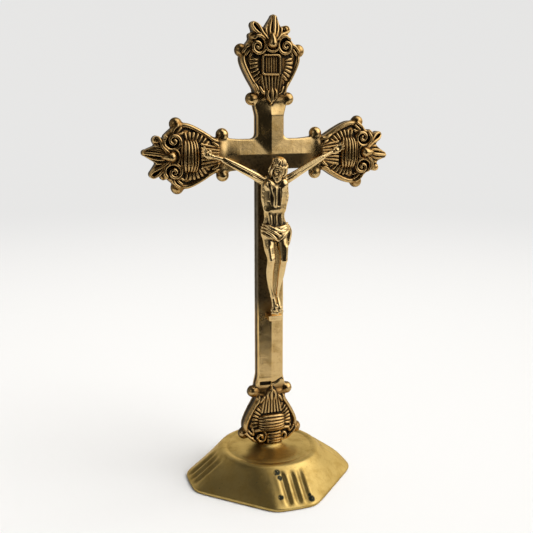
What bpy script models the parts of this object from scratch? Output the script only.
"""Standing altar cross in brass, with a cast figure.

A front and a back stamped shell make a hollow cross with four leaf terminals. A stud holds it on a
hollow fluted foot. Metres, +Z up; the front faces -Y and the origin is the middle of the foot's
underside. Dimensions below are in millimetres.
"""

import math

import bmesh
import bpy
from mathutils import Matrix, Vector

MM = 0.001
GAP = 0.3  # between solids that touch on the real object

# Cross
BAR_Z = 173.0  # height of the crossbar's middle
SHAFT_HALF = 6.9  # half width of the upright
BAR_HALF = 7.5  # half height of the crossbar
EDGE = 3.5  # from the middle plane to the front or back edge of the side walls
FILLET = 0.6  # how far the inner corners are pushed out
FIRST_COLUMN = 2.5  # from an inner corner to the first column of a limb's surface
WALL = 0.9  # thickness of the stamped sheet
NECK_TOP = 27.0  # crossbar's middle to the top terminal's neck beads
NECK_ARM = 24.5
NECK_BOTTOM = 125.1
TIP = 40.0  # neck beads to the leaf's tip
CROSS_FOOT = 19.2  # height of the bottom terminal's flat end
BEAD_R = 3.2
BEAD_Y = -1.0
NECK_BEAD_OUT = 9.9
SHOULDER_BEAD_OUT = 15.3
SHOULDER_BEAD_ALONG = 23.0

# Distance past the neck beads, half width, edge height, rise of the middle (front), same (back)
TERMINAL = (
    (-9.0, 0.0, 3.5, 1.1, 0.3),
    (-4.0, 8.0, 3.5, 1.5, 0.4),
    (0.0, 8.8, 3.5, 1.9, 0.6),
    (4.0, 8.7, 3.5, 2.0, 0.8),
    (10.0, 12.2, 3.4, 2.4, 1.1),
    (14.0, 14.3, 3.3, 3.9, 1.3),
    (19.0, 15.7, 3.2, 4.6, 1.3),
    (23.0, 15.0, 3.0, 3.4, 1.2),
    (26.0, 12.6, 2.8, 5.2, 1.0),
    (29.0, 9.4, 2.6, 4.2, 0.8),
    (32.0, 10.9, 2.4, 2.6, 0.7),
    (34.2, 9.2, 2.2, 2.0, 0.6),
    (35.2, 5.0, 2.1, 1.7, 0.5),
    (38.2, 3.6, 1.9, 1.2, 0.4),
    (TIP, 1.4, 1.6, 0.6, 0.3),
)
ROWS = 4  # strips of each limb's surface on each side of its middle line
HOLLOW_END = 26.0  # the hollow inside a terminal stops this far past the neck beads
HOLLOW_FLOOR = 1.4  # left solid under the hollow, above the cross's flat end

# Foot
APOTHEM = 44.3  # origin to a fluted corner face's lower edge
FLUTED_HALF = 10.6  # half width of a fluted face there
STUD_HOLE = 2.0
SHEET = 1.0
RIM_WIDTH = 1.5
CARD_THICK = 1.0
CARD_INSET = 2.2
FLUTES = (-5.0, 0.0, 5.0)  # places of the grooves across a fluted face
FLUTE_DEPTH = 0.9
FLUTE_WIDTH = 1.3

SHOULDER_R = 28.0  # where the round top meets the faceted skirt

# Circle radius, share of the rim's outline, height, share of the flute depth
FOOT_OUTSIDE = (
    (STUD_HOLE, 0.0, 18.9, 0.0),
    (5.4, 0.0, 18.9, 0.0),
    (6.1, 0.0, 18.1, 0.0),
    (7.0, 0.0, 17.3, 0.0),
    (9.0, 0.0, 16.7, 0.0),
    (13.0, 0.0, 16.4, 0.0),
    (20.5, 0.0, 16.0, 0.0),
    (22.6, 0.0, 15.4, 0.0),
    (24.6, 0.0, 15.8, 0.0),
    (26.6, 0.0, 15.2, 0.0),
    (SHOULDER_R, 0.0, 14.0, 0.0),
    (SHOULDER_R, 0.2, 11.4, 0.8),
    (SHOULDER_R, 0.5, 7.6, 1.0),
    (SHOULDER_R, 0.8, 3.9, 0.8),
    (SHOULDER_R, 1.0, 1.4, 0.0),
    (SHOULDER_R, 1.0, 0.0, 0.0),
)
NECK_INSIDE = ((6.0, 15.9), (4.4, 17.9), (STUD_HOLE, 17.9))  # radius and height under the neck
FLUTED_ANGLE = 16.0  # degrees on each side of an axis that a fluted face takes

# Fastening inside the foot
STUD_R = 1.5
STUD_LOW = 7.3
STUD_HIGH = 33.0
WASHER_R = 12.0
WASHER_TOP = 15.0
WASHER_THICK = 1.2
NUT_R = 3.6
NUT_THICK = 2.8
LUG_HALF = (5.0, 2.9)
LUG_LOW = 26.0
LUG_HIGH = 37.0

# Figure
HAND_X = 33.3
HAND_Z = {"left": 173.7, "right": 174.5}
HAND_Y = -8.0
HAND_TILT = 18.0
FOOT_NAIL_Z = 96.5
HAND_NAIL_SEAT = -9.1  # where the underside of a hand nail's head is
FOOT_NAIL_SEAT = -11.6
NAIL_R = 0.55
NAIL_HEAD_R = 1.1
NAIL_HEAD_THICK = 0.6
NAIL_END_Y = -1.6
REST_CENTRE = (0.2, -7.9, 89.8)
REST_SIZE = (6.8, 5.4, 3.0)
REST_BEVEL = 0.4


def clear_scene():
    for obj in list(bpy.data.objects):
        bpy.data.objects.remove(obj, do_unlink=True)


def brass(name, colour, roughness, metallic=1.0):
    material = bpy.data.materials.new(name)
    material.use_nodes = True
    shader = material.node_tree.nodes["Principled BSDF"]
    shader.inputs["Base Color"].default_value = (*colour, 1.0)
    shader.inputs["Roughness"].default_value = roughness
    shader.inputs["Metallic"].default_value = metallic
    return material


def finish(name, bm, material=None):
    """Writes bm, in millimetres, to a new object in metres."""
    bmesh.ops.recalc_face_normals(bm, faces=bm.faces)
    bmesh.ops.scale(bm, vec=Vector((MM, MM, MM)), verts=bm.verts)
    mesh = bpy.data.meshes.new(name)
    bm.to_mesh(mesh)
    bm.free()
    mesh.shade_smooth()
    mesh.set_sharp_from_angle(angle=math.radians(40))
    if material:
        mesh.materials.append(material)
    obj = bpy.data.objects.new(name, mesh)
    bpy.context.scene.collection.objects.link(obj)
    return obj


def hide(obj):
    obj.hide_render = True
    obj.display_type = "WIRE"
    return obj


def group(name, objects):
    """Moves helper objects to a collection that one Boolean modifier takes as a whole."""
    collection = bpy.data.collections.new(name)
    bpy.context.scene.collection.children.link(collection)
    for obj in objects:
        bpy.context.scene.collection.objects.unlink(obj)
        collection.objects.link(hide(obj))
    return collection


def boolean(obj, operation, other):
    modifier = obj.modifiers.new(operation.title(), "BOOLEAN")
    modifier.operation = operation
    modifier.solver = "EXACT"
    if isinstance(other, bpy.types.Collection):
        modifier.operand_type = "COLLECTION"
        modifier.collection = other
    else:
        modifier.object = hide(other)


def prism(name, outline, low, high, material=None):
    """A solid between two heights, whose corners are points (x, y)."""
    bm = bmesh.new()
    lower = [bm.verts.new((x, y, low)) for x, y in outline]
    upper = [bm.verts.new((x, y, high)) for x, y in outline]
    bm.faces.new(lower)
    bm.faces.new(upper)
    for i in range(len(outline)):
        j = (i + 1) % len(outline)
        bm.faces.new((lower[i], lower[j], upper[j], upper[i]))
    return finish(name, bm, material)


def circle(radius, sides, turn=0.0):
    angles = [turn + 2 * math.pi * i / sides for i in range(sides)]
    return [(radius * math.cos(a), radius * math.sin(a)) for a in angles]


def rod(name, start, end, radius, sides=16, material=None):
    """A cylinder between two points."""
    start, end = Vector(start), Vector(end)
    bm = bmesh.new()
    turn = (end - start).to_track_quat("Z", "Y").to_matrix().to_4x4()
    bmesh.ops.create_cone(
        bm,
        cap_ends=True,
        segments=sides,
        radius1=radius,
        radius2=radius,
        depth=(end - start).length,
        matrix=Matrix.Translation((start + end) / 2) @ turn,
    )
    return finish(name, bm, material)


def ball(name, centre, radii, tilt=0.0, bow=0.0, segments=14, rings=9):
    """An ellipsoid, bowed about X and then tilted about Y, in degrees."""
    bm = bmesh.new()
    bmesh.ops.create_uvsphere(bm, u_segments=segments, v_segments=rings, radius=1.0)
    turn = Matrix.Rotation(math.radians(tilt), 4, "Y") @ Matrix.Rotation(math.radians(bow), 4, "X")
    place = Matrix.Translation(centre) @ turn @ Matrix.Diagonal((*radii, 1.0))
    bmesh.ops.transform(bm, matrix=place, verts=bm.verts)
    return finish(name, bm)


def loft(name, stations, sides=10):
    """A closed skin over ellipses. A station is (x, y, z, half width, half depth)."""
    bm = bmesh.new()
    centres = [Vector(s[:3]) for s in stations]
    rings = []
    for i, station in enumerate(stations):
        ahead = centres[min(i + 1, len(centres) - 1)] - centres[max(i - 1, 0)]
        depth = Vector((0, 1, 0)) - ahead * (ahead.y / ahead.length_squared)
        depth.normalize()
        width = depth.cross(ahead).normalized()
        ring = []
        for u, v in circle(1.0, sides):
            point = centres[i] + width * (u * station[3]) + depth * (v * station[4])
            ring.append(bm.verts.new(point))
        rings.append(ring)
    bm.faces.new(rings[0])
    bm.faces.new(rings[-1])
    for a, b in zip(rings, rings[1:]):
        for i in range(sides):
            j = (i + 1) % sides
            bm.faces.new((a[i], a[j], b[j], b[i]))
    return finish(name, bm)


def limbs():
    """Direction, own and other bar's half width, neck distance and length past it, counterclockwise."""
    foot_length = BAR_Z - NECK_BOTTOM - CROSS_FOOT
    return (
        ((0, 1), SHAFT_HALF, BAR_HALF, NECK_TOP, TIP),
        ((-1, 0), BAR_HALF, SHAFT_HALF, NECK_ARM, TIP),
        ((0, -1), SHAFT_HALF, BAR_HALF, NECK_BOTTOM, foot_length),
        ((1, 0), BAR_HALF, SHAFT_HALF, NECK_ARM, TIP),
    )


def between(table, at):
    """The row of a table at a place along it, by straight lines between its rows."""
    for low, high in zip(table, table[1:]):
        if at <= high[0]:
            share = (at - low[0]) / (high[0] - low[0])
            return tuple(a + (b - a) * share for a, b in zip(low, high))
    return table[-1]


def columns(half, other, neck, length):
    """Along, half width, edge, rise and roundness of each column past the crossing."""
    start = TERMINAL[0][0]
    found = [(other + FIRST_COLUMN, half, EDGE, None, 0.0), (neck + start, half, EDGE, None, 0.0)]
    for row in TERMINAL[1:]:
        if row[0] >= length - 0.5:
            break
        found.append((neck + row[0], row[1], row[2], row, min(1.0, 1.0 - row[0] / start)))
    last = between(TERMINAL, length)
    found.append((neck + length, last[1], last[2], last, 1.0))
    return found


def cross_solid(name, facing, inset=0.0, cap=1.7):
    """One half of the cross as a solid from past the middle plane out to its relief.

    facing is -1 for the front and 1 for the back. inset shrinks it all round, for the hollow.
    """
    rise_column = 3 if facing < 0 else 4
    bar_rise = TERMINAL[0][rise_column]
    bm = bmesh.new()
    points = {}
    tops, lows = [], []

    def vertex(x, z, height):
        key = (round(x, 4), round(z, 4))
        if key not in points:
            points[key] = len(tops)
            tops.append(bm.verts.new((x, facing * height, BAR_Z + z)))
            lows.append(bm.verts.new((x, -facing * cap, BAR_Z + z)))
        return points[key]

    steps = [i / ROWS for i in range(-ROWS, ROWS + 1)]
    for (dx, dz), half, other, neck, length in limbs():
        rows = []
        corner = [(abs(t) * (other + FILLET - inset), t * (half + FILLET - inset)) for t in steps]
        rows.append([(a, c, EDGE + bar_rise * (1 - abs(t))) for t, (a, c) in zip(steps, corner)])
        for along, width, edge, row, roundness in columns(half, other, neck, length):
            if inset and along > neck + min(HOLLOW_END, length - HOLLOW_FLOOR):
                break
            rise = row[rise_column] if row else bar_rise
            shapes = [(1 - abs(t)) * (1 - roundness) + (1 - t * t) * roundness for t in steps]
            spread = width - inset
            rows.append([(along, t * spread, edge + rise * s) for t, s in zip(steps, shapes)])
        grid = [
            [vertex(a * dx + c * dz, a * dz - c * dx, h - inset) for a, c, h in row] for row in rows
        ]
        for one, two in zip(grid, grid[1:]):
            for i in range(2 * ROWS):
                quad = (one[i], one[i + 1], two[i + 1], two[i])
                bm.faces.new([tops[k] for k in quad])
                bm.faces.new([lows[k] for k in reversed(quad)])
    index = {v: i for i, v in enumerate(tops)}
    for edge in [e for e in bm.edges if len(e.link_faces) == 1 and e.verts[0] in index]:
        a, b = edge.verts
        bm.faces.new((a, b, lows[index[b]], lows[index[a]]))
    return finish(name, bm)


def beads():
    """The balls at each terminal's neck and shoulders."""
    made = []
    for (dx, dz), _, _, neck, _ in limbs():
        for out, along in ((NECK_BEAD_OUT, 0.0), (SHOULDER_BEAD_OUT, SHOULDER_BEAD_ALONG)):
            for side in (-1, 1):
                a, c = neck + along, side * out
                place = (a * dx + c * dz, BEAD_Y, BAR_Z + a * dz - c * dx)
                made.append(ball("bead", place, (BEAD_R,) * 3, segments=10, rings=7))
    return made


def nail_places():
    """Each nail's name, its axis and the place of its head's underside."""
    return (
        ("left_hand_nail", (-HAND_X, HAND_NAIL_SEAT, HAND_Z["left"])),
        ("right_hand_nail", (HAND_X, HAND_NAIL_SEAT, HAND_Z["right"])),
        ("foot_nail", (REST_CENTRE[0], FOOT_NAIL_SEAT, FOOT_NAIL_Z)),
    )


def holes(name, radius):
    """Cutters along the nails, as one collection."""
    made = []
    for nail, (x, y, z) in nail_places():
        start = (x, y - 2 * NAIL_HEAD_R, z)
        made.append(rod(f"{name}_{nail}", start, (x, NAIL_END_Y + 1, z), radius, sides=12))
    return made


def front_or_back(name, near, far):
    """A block that fills the space between two planes across Y, past the whole cross."""
    outline = [(-TIP * 2, far), (TIP * 2, far), (TIP * 2, near), (-TIP * 2, near)]
    return prism(name, outline, 0, BAR_Z + 2 * TIP)


def cross_shell(name, facing, material):
    shell = cross_solid(name, facing)
    shell.data.materials.append(material)
    boolean(shell, "UNION", group(f"{name}_beads", beads()))
    boolean(shell, "DIFFERENCE", cross_solid(f"{name}_hollow", facing, inset=WALL, cap=3.0))
    other_half = front_or_back(f"{name}_other_half", facing * GAP / 2, -facing * TIP)
    boolean(shell, "DIFFERENCE", other_half)
    cutters = [rod(f"{name}_stud_hole", (0, 0, 10), (0, 0, CROSS_FOOT + 5), STUD_HOLE)]
    if facing < 0:
        cutters += holes(name, NAIL_R + GAP)
    boolean(shell, "DIFFERENCE", group(f"{name}_holes", cutters))
    return shell


def arm(side):
    """From the shoulder to the fingertips. side is -1 or 1 along X."""
    z = HAND_Z["left" if side < 0 else "right"]
    return [
        loft(
            "arm",
            [
                (side * 3.5, -9.0, 160.3, 2.4, 2.4),
                (side * 7.5, -8.9, 161.9, 2.3, 2.2),
                (side * 13.0, -8.6, 164.4, 1.9, 1.8),
                (side * 19.0, -8.4, 167.6, 1.7, 1.6),
                (side * 24.5, -8.3, 170.6, 1.6, 1.5),
                (side * 29.6, HAND_Y - 0.1, z - 1.5, 1.1, 1.0),
                (side * 31.0, HAND_Y, z - 0.9, 1.4, 0.9),
            ],
        ),
        ball("hand", (side * HAND_X, HAND_Y, z), (3.6, 0.85, 2.0), tilt=-side * HAND_TILT, segments=12),
    ]


def leg(side):
    """From the hip to the toes; the foot on the -X side lies on the other."""
    front = -1.9 if side < 0 else 0.0
    return loft(
        "leg",
        [
            (side * 3.2, -9.2, 135.0, 3.0, 3.2),
            (side * 3.3, -9.8, 130.0, 3.5, 3.5),
            (side * 2.9, -11.2, 121.0, 2.7, 2.8),
            (side * 2.4, -10.6, 113.0, 2.4, 2.5),
            (side * 1.5, -8.7 + front * 0.5, 104.0, 1.5, 1.6),
            (side * 0.9 + 0.3, -7.8 + front, 99.5, 1.6, 1.6),
            (side * 0.5 + 0.3, -7.9 + front, 95.5, 1.9, 1.3),
            (side * 0.5 + 0.3, -8.3 + front, 92.0, 1.8, 0.9),
        ],
    )


def figure(material):
    """The cast body, hung by its hands and feet and clear of the cross between them."""
    body = loft(
        "corpus",
        [
            (0.2, -9.0, 164.0, 3.2, 2.2),
            (0.2, -9.2, 162.0, 6.4, 3.0),
            (0.2, -9.6, 157.5, 6.8, 3.8),
            (0.1, -9.6, 152.0, 6.3, 3.8),
            (0.1, -9.2, 146.0, 5.6, 3.2),
            (0.1, -9.0, 141.5, 5.3, 3.0),
            (0.2, -9.0, 138.5, 6.6, 3.6),
            (0.2, -9.1, 134.0, 7.2, 3.9),
            (0.2, -9.4, 130.5, 6.4, 3.9),
            (0.2, -9.4, 128.8, 4.6, 3.4),
        ],
        sides=14,
    )
    body.data.materials.append(material)
    parts = [leg(-1), leg(1), *arm(-1), *arm(1)]
    parts.append(loft("neck", [(0.2, -9.2, 161.0, 2.4, 2.2), (0.8, -12.2, 167.0, 2.3, 2.3)]))
    parts.append(ball("head", (0.9, -13.0, 166.2), (3.6, 4.1, 5.2), tilt=10, bow=-20))
    parts.append(ball("hair", (0.9, -12.0, 165.2), (4.3, 3.5, 5.4), tilt=10, bow=-12))
    parts.append(ball("knot", (7.0, -9.2, 135.2), (1.5, 2.0, 3.2), segments=10, rings=6))
    boolean(body, "UNION", group("figure_parts", parts))
    boolean(body, "DIFFERENCE", group("figure_holes", holes("figure", NAIL_R + GAP)))
    return body


def nail(name, place, material):
    """A round head on a shank that ends inside the cross."""
    x, y, z = place
    front = y - NAIL_HEAD_THICK
    made = rod(name, (x, y, z), (x, front, z), NAIL_HEAD_R, 16, material)
    start = (x, y - NAIL_HEAD_THICK / 2, z)
    boolean(made, "UNION", rod(f"{name}_shank", start, (x, NAIL_END_Y, z), NAIL_R, 12))
    return made


def foot_rest(material):
    """The bracket under the toes: a bevelled block in front of the upright."""
    bm = bmesh.new()
    bmesh.ops.create_cube(bm, size=1.0)
    place = Matrix.Translation(REST_CENTRE) @ Matrix.Diagonal((*REST_SIZE, 1.0))
    bmesh.ops.transform(bm, matrix=place, verts=bm.verts)
    bmesh.ops.bevel(bm, geom=bm.edges, offset=REST_BEVEL, segments=1, affect="EDGES")
    return finish("foot_rest", bm, material)


def rim_radius(angle):
    """The foot's rim: four wide faces on the diagonals and four fluted ones on the axes, rounded."""
    wide = (APOTHEM + FLUTED_HALF) / math.sqrt(2)
    power = 26.0
    total = 0.0
    for i in range(8):
        apothem = wide if i % 2 else APOTHEM
        reach = math.cos(angle - i * math.pi / 4) / apothem
        total += max(reach, 0.0) ** power
    return total ** (-1.0 / power)


def foot_angles():
    """Close together on the fluted faces and further apart on the wide ones."""
    found = []
    fluted, wide = math.radians(FLUTED_ANGLE), math.radians(90 - FLUTED_ANGLE)
    for quarter in range(4):
        start = quarter * math.pi / 2
        found += [start - fluted + 2 * fluted * i / 14 for i in range(14)]
        found += [start + fluted + (wide - fluted) * i / 4 for i in range(4)]
    return found


def foot_ring(angles, radius, share, z, flutes, inset=0.0):
    """One ring of points round the foot. inset draws it towards the middle."""
    ring = []
    for angle in angles:
        reach = radius * (1 - share) + rim_radius(angle) * share
        face = round(angle / (math.pi / 2)) * math.pi / 2
        across = reach * math.sin(angle - face)
        groove = sum(math.exp(-(((across - at) / FLUTE_WIDTH) ** 2)) for at in FLUTES)
        depth = FLUTE_DEPTH * flutes * groove
        reach -= inset + depth * 0.6
        ring.append((reach * math.cos(angle), reach * math.sin(angle), z - depth * 0.8))
    return ring


def foot_shell(material):
    """The stamped foot, as one skin from the neck's hole over the rim and back up inside."""
    angles = foot_angles()
    rings = [foot_ring(angles, *row) for row in FOOT_OUTSIDE]
    rings.append(foot_ring(angles, SHOULDER_R, 1.0, 0.0, 0.0, inset=RIM_WIDTH))
    rings.append(foot_ring(angles, SHOULDER_R, 1.0, SHEET, 0.0, inset=RIM_WIDTH + 0.1))
    for radius, share, z, flutes in reversed(FOOT_OUTSIDE[4:-2]):
        slope = 0.62 if z < 15.0 else 0.05
        rings.append(foot_ring(angles, radius, share, z - SHEET * 0.9, flutes, inset=SHEET * slope))
    rings += [foot_ring(angles, radius, 0.0, z, 0.0) for radius, z in NECK_INSIDE]
    bm = bmesh.new()
    made = [[bm.verts.new(point) for point in ring] for ring in rings]
    for one, two in zip(made, made[1:] + made[:1]):
        for i in range(len(angles)):
            j = (i + 1) % len(angles)
            bm.faces.new((one[i], one[j], two[j], two[i]))
    return finish("base_shell", bm, material)


def base_card(material):
    """The felt-faced card that closes the underside."""
    angles = [2 * math.pi * i / 48 for i in range(48)]
    outline = []
    for angle in angles:
        reach = rim_radius(angle) - CARD_INSET
        outline.append((reach * math.cos(angle), reach * math.sin(angle)))
    return prism("base_card", outline, 0.0, CARD_THICK, material)


def with_hole(obj, low, high):
    boolean(obj, "DIFFERENCE", rod(f"{obj.name}_hole", (0, 0, low - 1), (0, 0, high + 1), STUD_R + GAP))


def fastening(steel, metal):
    """The lug in the cross's foot, and the stud, washer and nut that clamp the foot to it."""
    x, y = LUG_HALF
    lug = prism("foot_lug", [(-x, -y), (x, -y), (x, y), (-x, y)], LUG_LOW, LUG_HIGH, metal)
    with_hole(lug, LUG_LOW, LUG_HIGH)
    rod("stud", (0, 0, STUD_LOW), (0, 0, STUD_HIGH), STUD_R, material=steel)
    washer_low = WASHER_TOP - WASHER_THICK
    washer = prism("washer", circle(WASHER_R, 32), washer_low, WASHER_TOP, steel)
    with_hole(washer, washer_low, WASHER_TOP)
    nut_top = washer_low - GAP
    nut = prism("nut", circle(NUT_R, 6), nut_top - NUT_THICK, nut_top, steel)
    with_hole(nut, nut_top - NUT_THICK, nut_top)


def main():
    clear_scene()
    antique = brass("antique_brass", (0.46, 0.30, 0.11), 0.32)
    satin = brass("satin_brass", (0.50, 0.35, 0.15), 0.42)
    bright = brass("figure_brass", (0.60, 0.42, 0.18), 0.25)
    steel = brass("plain_steel", (0.45, 0.44, 0.42), 0.45)
    felt = brass("felt", (0.05, 0.12, 0.08), 0.95, metallic=0.0)
    cross_shell("cross_front_shell", -1, antique)
    cross_shell("cross_back_shell", 1, antique)
    figure(bright)
    for name, place in nail_places():
        nail(name, place, bright)
    foot_rest(bright)
    foot_shell(satin)
    base_card(felt)
    fastening(steel, antique)


main()
